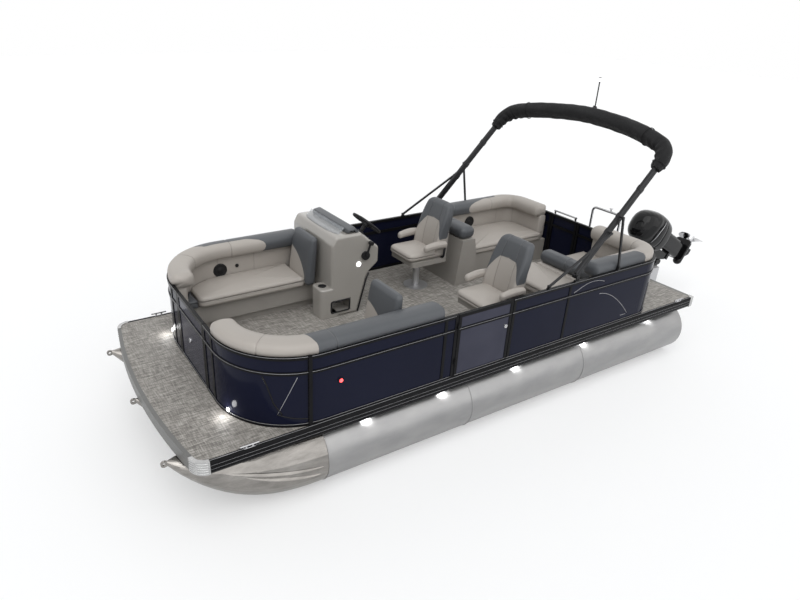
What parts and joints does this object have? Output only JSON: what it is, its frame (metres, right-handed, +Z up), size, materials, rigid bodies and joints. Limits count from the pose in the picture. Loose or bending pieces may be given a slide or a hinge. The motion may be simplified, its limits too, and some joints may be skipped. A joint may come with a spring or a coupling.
{
  "type": "pontoon boat",
  "caption": "Three-tube pontoon boat with a fenced cockpit, lounges, helm, swivel seats, gates, a furled bimini top propped aft and an outboard tilted up.",
  "frame": {"origin": "on the bottom of the centre tube's keel, directly below the aft edge of the deck", "axes": "+X to the bow, +Y to port, +Z up"},
  "size_m": [8.4683, 2.59, 3.2488],
  "materials": {
    "tube_aluminium": "brushed, satin",
    "nose_aluminium": "polished",
    "frame_aluminium": "mill finish",
    "woven_vinyl": "woven, grey-beige",
    "black_rail": "satin black with bright lines",
    "bow_trim": "satin grey",
    "cast_alloy": "polished casting",
    "navy_panel": "gloss navy",
    "gate_panel": "gloss blue-grey",
    "upholstery_beige": "stitched vinyl, warm grey",
    "upholstery_slate": "stitched vinyl, slate grey",
    "gelcoat": "gloss gelcoat, warm grey",
    "black_gloss": "gloss black",
    "black_plastic": "satin black",
    "stainless": "polished",
    "black_tube": "charcoal satin",
    "boot_canvas": "black canvas",
    "light_lens": "clear lens"
  },
  "bodies": {
    "boat": {"port_tube": "tube_aluminium", "centre_tube": "tube_aluminium", "starboard_tube": "tube_aluminium", "nose_cones": "nose_aluminium", "tube_risers": "frame_aluminium", "crossbeams": "frame_aluminium", "deck_floor": "woven_vinyl", "rub_rails": "black_rail", "deck_trim": "bow_trim", "corner_castings": "cast_alloy", "cleats": "stainless", "port_fence_frame": "black_rail", "port_bow_panels": "navy_panel", "port_side_panels": "navy_panel", "port_quarter_panels": "navy_panel", "starboard_fence_frame": "black_rail", "starboard_bow_panels": "navy_panel", "starboard_side_panels": "navy_panel", "starboard_quarter_panels": "navy_panel", "bow_lounge_bases": "upholstery_beige", "bow_lounge_cushions": "upholstery_beige", "bow_lounge_backs": "upholstery_slate", "bow_bolsters": "upholstery_slate", "aft_lounge_bases": "upholstery_beige", "aft_lounge_cushions": "upholstery_beige", "aft_lounge_backs": "upholstery_slate", "aft_bolsters": "upholstery_slate", "helm_console": "gelcoat", "helm_dash": "black_gloss", "throttle": "black_plastic", "seat_pedestals": "frame_aluminium", "bimini_mounts": "black_tube", "tow_bar": "stainless", "navigation_lights": "light_lens", "motor_pod": "tube_aluminium", "motor_clamp": "black_plastic"},
    "bow_gate": {"bow_gate_frame": "black_rail", "bow_gate_panel": "gate_panel"},
    "port_gate": {"port_gate_frame": "black_rail", "port_gate_panel": "gate_panel"},
    "stern_gate": {"stern_gate_frame": "black_rail", "stern_gate_panel": "gate_panel"},
    "bimini": {"bimini_arms": "black_tube", "bimini_boot": "boot_canvas", "light_pole": "black_plastic"},
    "front_struts": {"front_struts": "black_tube"},
    "rear_braces": {"rear_braces": "black_tube"},
    "motor_bracket": {"swivel_bracket": "black_plastic"},
    "motor": {"motor_leg": "black_gloss", "motor_cowl": "black_gloss"},
    "propeller": {"propeller": "stainless"},
    "steering_wheel": {"steering_wheel": "black_plastic"},
    "helm_seat": {"helm_seat_frame": "upholstery_slate", "helm_seat_cushions": "upholstery_beige"},
    "companion_seat": {"companion_seat_frame": "upholstery_slate", "companion_seat_cushions": "upholstery_beige"}
  },
  "joints": [
    {"name": "bow_gate_hinge", "type": "hinge", "parent": "boat", "child": "bow_gate", "pos_m": [5.809, -0.366, 0.8], "axis": [0, 0, 1], "range_deg": [0, 90]},
    {"name": "port_gate_hinge", "type": "hinge", "parent": "boat", "child": "port_gate", "pos_m": [3.791, 1.284, 0.8], "axis": [0, 0, -1], "range_deg": [0, 100]},
    {"name": "stern_gate_hinge", "type": "hinge", "parent": "boat", "child": "stern_gate", "pos_m": [0.726, -0.461, 0.8], "axis": [0, 0, 1], "range_deg": [0, 90]},
    {"name": "bimini_fold", "type": "hinge", "parent": "boat", "child": "bimini", "pos_m": [2.23, 0, 1.514], "axis": [0, 1, 0], "range_deg": [0, 70]},
    {"name": "front_strut_fold", "type": "hinge", "parent": "boat", "child": "front_struts", "pos_m": [2.64, 0, 1.495], "axis": [0, 1, 0], "range_deg": [-14, 0]},
    {"name": "rear_brace_fold", "type": "hinge", "parent": "boat", "child": "rear_braces", "pos_m": [1.6, 0, 1.495], "axis": [0, 1, 0], "range_deg": [-91, 0]},
    {"name": "motor_tilt", "type": "hinge", "parent": "boat", "child": "motor_bracket", "pos_m": [-0.92, 0, 0.68], "axis": [0, 1, 0], "range_deg": [-60, 6]},
    {"name": "motor_steer", "type": "hinge", "parent": "motor_bracket", "child": "motor", "pos_m": [-0.995, 0, 0.8099], "axis": [0.866, 0, 0.5], "range_deg": [-30, 30]},
    {"name": "propeller_spin", "type": "hinge", "parent": "motor", "child": "propeller", "pos_m": [-1.85684, 0, 0.76265], "axis": [0.5, 0, -0.866], "continuous": true},
    {"name": "wheel_turn", "type": "hinge", "parent": "boat", "child": "steering_wheel", "pos_m": [3.63751, -0.56, 1.74475], "axis": [-0.6428, 0, 0.766], "range_deg": [-540, 540]},
    {"name": "helm_seat_swivel", "type": "hinge", "parent": "boat", "child": "helm_seat", "pos_m": [2.85, -0.62, 1.13], "axis": [0, 0, 1], "continuous": true},
    {"name": "companion_seat_swivel", "type": "hinge", "parent": "boat", "child": "companion_seat", "pos_m": [2.96, 0.78, 1.13], "axis": [0, 0, 1], "continuous": true}
  ],
  "couplings": [
    {"joint": "front_strut_fold", "follows": "bimini_fold", "ratio": -0.2},
    {"joint": "rear_brace_fold", "follows": "bimini_fold", "ratio": -1.3},
    {"joint": "wheel_turn", "follows": "motor_steer", "ratio": 18}
  ]
}
